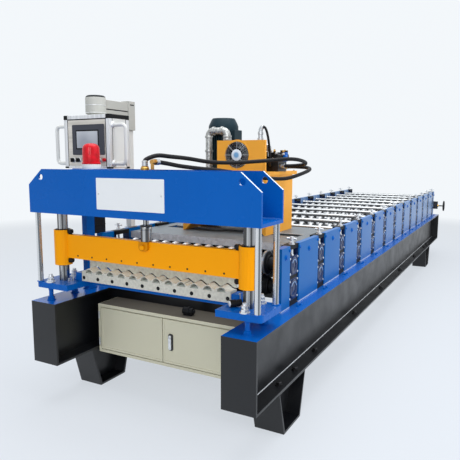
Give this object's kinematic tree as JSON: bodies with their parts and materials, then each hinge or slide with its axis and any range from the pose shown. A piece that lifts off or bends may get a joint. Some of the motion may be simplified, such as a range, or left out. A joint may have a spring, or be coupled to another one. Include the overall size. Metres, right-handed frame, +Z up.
{
  "type": "roll forming machine",
  "caption": "Long roll forming line for corrugated roof sheet: bed with paired wave rolls, cut-off shear, hydraulic power unit, swing-arm operator panel and electric cabinet.",
  "frame": {"origin": "centre of the machine's overall box, on the floor", "axes": "+Y along the line from the shear end to the sheet's entry, +X to the right seen from the shear end, +Z up"},
  "size_m": [1.6409, 6.073, 1.735],
  "materials": {
    "machine_blue": "smooth enamel",
    "frame_black": "satin enamel",
    "roll_chrome": "polished",
    "bright_steel": "ground",
    "die_cream": "matt",
    "signal_yellow": "smooth enamel",
    "zinc_plate": "galvanised",
    "power_unit_orange": "satin enamel",
    "motor_dark_grey": "satin enamel",
    "panel_pale_grey": "powder coat",
    "cabinet_beige": "powder coat",
    "beacon_red": "clear red",
    "hose_rubber": "matt"
  },
  "bodies": {
    "frame": {"beacon": "beacon_red", "bed_frame": "frame_black", "cable_duct": "motor_dark_grey", "cable_post": "machine_blue", "deck_plate": "zinc_plate", "electric_cabinet": "cabinet_beige", "entry_guide": "bright_steel", "guide_bracket": "motor_dark_grey", "guide_column_left": "bright_steel", "guide_column_right": "bright_steel", "lower_hose": "hose_rubber", "oil_cooler": "power_unit_orange", "oil_tank": "power_unit_orange", "panel_column": "bright_steel", "pump_motor": "motor_dark_grey", "return_pipe": "panel_pale_grey", "shear_cylinder": "machine_blue", "shear_die": "die_cream", "shear_head": "machine_blue", "shear_table": "machine_blue", "side_frame_left": "machine_blue", "side_frame_right": "machine_blue", "upper_hose": "hose_rubber", "valve_block": "motor_dark_grey"},
    "shear_blade": {"blade_beam": "signal_yellow", "cutting_blade": "die_cream", "cylinder_rod": "bright_steel"},
    "arm": {"panel_arm": "panel_pale_grey"},
    "panel": {"operator_panel": "panel_pale_grey"},
    "door_left": {"cabinet_door_left": "cabinet_beige"},
    "door_right": {"cabinet_door_right": "cabinet_beige"},
    "fan": {"cooler_fan": "motor_dark_grey"},
    "handwheel": {"guide_handwheel": "motor_dark_grey"},
    "upper_roll_01": {"upper_roll_01": "roll_chrome"},
    "upper_roll_02": {"upper_roll_02": "roll_chrome"},
    "upper_roll_03": {"upper_roll_03": "roll_chrome"},
    "upper_roll_04": {"upper_roll_04": "roll_chrome"},
    "upper_roll_05": {"upper_roll_05": "roll_chrome"},
    "upper_roll_06": {"upper_roll_06": "roll_chrome"},
    "upper_roll_07": {"upper_roll_07": "roll_chrome"},
    "upper_roll_08": {"upper_roll_08": "roll_chrome"},
    "upper_roll_09": {"upper_roll_09": "roll_chrome"},
    "upper_roll_10": {"upper_roll_10": "roll_chrome"},
    "upper_roll_11": {"upper_roll_11": "roll_chrome"},
    "upper_roll_12": {"upper_roll_12": "roll_chrome"},
    "upper_roll_13": {"upper_roll_13": "roll_chrome"},
    "lower_roll_01": {"lower_roll_01": "roll_chrome"},
    "lower_roll_02": {"lower_roll_02": "roll_chrome"},
    "lower_roll_03": {"lower_roll_03": "roll_chrome"},
    "lower_roll_04": {"lower_roll_04": "roll_chrome"},
    "lower_roll_05": {"lower_roll_05": "roll_chrome"},
    "lower_roll_06": {"lower_roll_06": "roll_chrome"},
    "lower_roll_07": {"lower_roll_07": "roll_chrome"},
    "lower_roll_08": {"lower_roll_08": "roll_chrome"},
    "lower_roll_09": {"lower_roll_09": "roll_chrome"},
    "lower_roll_10": {"lower_roll_10": "roll_chrome"},
    "lower_roll_11": {"lower_roll_11": "roll_chrome"},
    "lower_roll_12": {"lower_roll_12": "roll_chrome"},
    "lower_roll_13": {"lower_roll_13": "roll_chrome"}
  },
  "joints": [
    {"name": "blade_stroke", "type": "slide", "parent": "frame", "child": "shear_blade", "axis": [0, 0, 1], "range_m": [-0.05, 0]},
    {"name": "arm_swing", "type": "hinge", "parent": "frame", "child": "arm", "pos_m": [-0.5395, -2.2795, 1.64], "axis": [0, 0, 1], "range_deg": [-90, 20]},
    {"name": "panel_swivel", "type": "hinge", "parent": "arm", "child": "panel", "pos_m": [-0.5415, -2.5735, 1.62], "axis": [0, 0, 1], "range_deg": [-25, 25]},
    {"name": "door_left_hinge", "type": "hinge", "parent": "frame", "child": "door_left", "pos_m": [-0.4212, -2.6985, 0.368], "axis": [0, 0, 1], "range_deg": [-90, 0]},
    {"name": "door_right_hinge", "type": "hinge", "parent": "frame", "child": "door_right", "pos_m": [0.4555, -2.6985, 0.368], "axis": [0, 0, 1], "range_deg": [0, 90]},
    {"name": "fan_spin", "type": "hinge", "parent": "frame", "child": "fan", "pos_m": [0.1615, -2.0765, 1.388], "axis": [0, 1, 0], "continuous": true},
    {"name": "handwheel_turn", "type": "hinge", "parent": "frame", "child": "handwheel", "pos_m": [0.8125, 2.9635, 0.715], "axis": [1, 0, 0], "continuous": true},
    {"name": "lower_roll_01_spin", "type": "hinge", "parent": "frame", "child": "lower_roll_01", "pos_m": [0.0625, -2.4165, 0.677], "axis": [1, 0, 0], "continuous": true},
    {"name": "lower_roll_02_spin", "type": "hinge", "parent": "frame", "child": "lower_roll_02", "pos_m": [0.0625, -1.9765, 0.677], "axis": [1, 0, 0], "continuous": true},
    {"name": "lower_roll_03_spin", "type": "hinge", "parent": "frame", "child": "lower_roll_03", "pos_m": [0.0625, -1.5365, 0.677], "axis": [1, 0, 0], "continuous": true},
    {"name": "lower_roll_04_spin", "type": "hinge", "parent": "frame", "child": "lower_roll_04", "pos_m": [0.0625, -1.0965, 0.677], "axis": [1, 0, 0], "continuous": true},
    {"name": "lower_roll_05_spin", "type": "hinge", "parent": "frame", "child": "lower_roll_05", "pos_m": [0.0625, -0.6565, 0.677], "axis": [1, 0, 0], "continuous": true},
    {"name": "lower_roll_06_spin", "type": "hinge", "parent": "frame", "child": "lower_roll_06", "pos_m": [0.0625, -0.2165, 0.677], "axis": [1, 0, 0], "continuous": true},
    {"name": "lower_roll_07_spin", "type": "hinge", "parent": "frame", "child": "lower_roll_07", "pos_m": [0.0625, 0.2235, 0.677], "axis": [1, 0, 0], "continuous": true},
    {"name": "lower_roll_08_spin", "type": "hinge", "parent": "frame", "child": "lower_roll_08", "pos_m": [0.0625, 0.6635, 0.677], "axis": [1, 0, 0], "continuous": true},
    {"name": "lower_roll_09_spin", "type": "hinge", "parent": "frame", "child": "lower_roll_09", "pos_m": [0.0625, 1.1035, 0.677], "axis": [1, 0, 0], "continuous": true},
    {"name": "lower_roll_10_spin", "type": "hinge", "parent": "frame", "child": "lower_roll_10", "pos_m": [0.0625, 1.5435, 0.677], "axis": [1, 0, 0], "continuous": true},
    {"name": "lower_roll_11_spin", "type": "hinge", "parent": "frame", "child": "lower_roll_11", "pos_m": [0.0625, 1.9835, 0.677], "axis": [1, 0, 0], "continuous": true},
    {"name": "lower_roll_12_spin", "type": "hinge", "parent": "frame", "child": "lower_roll_12", "pos_m": [0.0625, 2.4235, 0.677], "axis": [1, 0, 0], "continuous": true},
    {"name": "lower_roll_13_spin", "type": "hinge", "parent": "frame", "child": "lower_roll_13", "pos_m": [0.0625, 2.8635, 0.677], "axis": [1, 0, 0], "continuous": true},
    {"name": "upper_roll_01_spin", "type": "hinge", "parent": "frame", "child": "upper_roll_01", "pos_m": [0.0625, -2.4165, 0.805], "axis": [1, 0, 0], "continuous": true},
    {"name": "upper_roll_02_spin", "type": "hinge", "parent": "frame", "child": "upper_roll_02", "pos_m": [0.0625, -1.9765, 0.805], "axis": [1, 0, 0], "continuous": true},
    {"name": "upper_roll_03_spin", "type": "hinge", "parent": "frame", "child": "upper_roll_03", "pos_m": [0.0625, -1.5365, 0.805], "axis": [1, 0, 0], "continuous": true},
    {"name": "upper_roll_04_spin", "type": "hinge", "parent": "frame", "child": "upper_roll_04", "pos_m": [0.0625, -1.0965, 0.805], "axis": [1, 0, 0], "continuous": true},
    {"name": "upper_roll_05_spin", "type": "hinge", "parent": "frame", "child": "upper_roll_05", "pos_m": [0.0625, -0.6565, 0.805], "axis": [1, 0, 0], "continuous": true},
    {"name": "upper_roll_06_spin", "type": "hinge", "parent": "frame", "child": "upper_roll_06", "pos_m": [0.0625, -0.2165, 0.805], "axis": [1, 0, 0], "continuous": true},
    {"name": "upper_roll_07_spin", "type": "hinge", "parent": "frame", "child": "upper_roll_07", "pos_m": [0.0625, 0.2235, 0.805], "axis": [1, 0, 0], "continuous": true},
    {"name": "upper_roll_08_spin", "type": "hinge", "parent": "frame", "child": "upper_roll_08", "pos_m": [0.0625, 0.6635, 0.805], "axis": [1, 0, 0], "continuous": true},
    {"name": "upper_roll_09_spin", "type": "hinge", "parent": "frame", "child": "upper_roll_09", "pos_m": [0.0625, 1.1035, 0.805], "axis": [1, 0, 0], "continuous": true},
    {"name": "upper_roll_10_spin", "type": "hinge", "parent": "frame", "child": "upper_roll_10", "pos_m": [0.0625, 1.5435, 0.805], "axis": [1, 0, 0], "continuous": true},
    {"name": "upper_roll_11_spin", "type": "hinge", "parent": "frame", "child": "upper_roll_11", "pos_m": [0.0625, 1.9835, 0.805], "axis": [1, 0, 0], "continuous": true},
    {"name": "upper_roll_12_spin", "type": "hinge", "parent": "frame", "child": "upper_roll_12", "pos_m": [0.0625, 2.4235, 0.805], "axis": [1, 0, 0], "continuous": true},
    {"name": "upper_roll_13_spin", "type": "hinge", "parent": "frame", "child": "upper_roll_13", "pos_m": [0.0625, 2.8635, 0.805], "axis": [1, 0, 0], "continuous": true}
  ],
  "couplings": [
    {"joint": "lower_roll_02_spin", "follows": "lower_roll_01_spin", "ratio": 1},
    {"joint": "lower_roll_03_spin", "follows": "lower_roll_01_spin", "ratio": 1},
    {"joint": "lower_roll_04_spin", "follows": "lower_roll_01_spin", "ratio": 1},
    {"joint": "lower_roll_05_spin", "follows": "lower_roll_01_spin", "ratio": 1},
    {"joint": "lower_roll_06_spin", "follows": "lower_roll_01_spin", "ratio": 1},
    {"joint": "lower_roll_07_spin", "follows": "lower_roll_01_spin", "ratio": 1},
    {"joint": "lower_roll_08_spin", "follows": "lower_roll_01_spin", "ratio": 1},
    {"joint": "lower_roll_09_spin", "follows": "lower_roll_01_spin", "ratio": 1},
    {"joint": "lower_roll_10_spin", "follows": "lower_roll_01_spin", "ratio": 1},
    {"joint": "lower_roll_11_spin", "follows": "lower_roll_01_spin", "ratio": 1},
    {"joint": "lower_roll_12_spin", "follows": "lower_roll_01_spin", "ratio": 1},
    {"joint": "lower_roll_13_spin", "follows": "lower_roll_01_spin", "ratio": 1},
    {"joint": "upper_roll_01_spin", "follows": "lower_roll_01_spin", "ratio": -1},
    {"joint": "upper_roll_02_spin", "follows": "lower_roll_01_spin", "ratio": -1},
    {"joint": "upper_roll_03_spin", "follows": "lower_roll_01_spin", "ratio": -1},
    {"joint": "upper_roll_04_spin", "follows": "lower_roll_01_spin", "ratio": -1},
    {"joint": "upper_roll_05_spin", "follows": "lower_roll_01_spin", "ratio": -1},
    {"joint": "upper_roll_06_spin", "follows": "lower_roll_01_spin", "ratio": -1},
    {"joint": "upper_roll_07_spin", "follows": "lower_roll_01_spin", "ratio": -1},
    {"joint": "upper_roll_08_spin", "follows": "lower_roll_01_spin", "ratio": -1},
    {"joint": "upper_roll_09_spin", "follows": "lower_roll_01_spin", "ratio": -1},
    {"joint": "upper_roll_10_spin", "follows": "lower_roll_01_spin", "ratio": -1},
    {"joint": "upper_roll_11_spin", "follows": "lower_roll_01_spin", "ratio": -1},
    {"joint": "upper_roll_12_spin", "follows": "lower_roll_01_spin", "ratio": -1},
    {"joint": "upper_roll_13_spin", "follows": "lower_roll_01_spin", "ratio": -1}
  ]
}
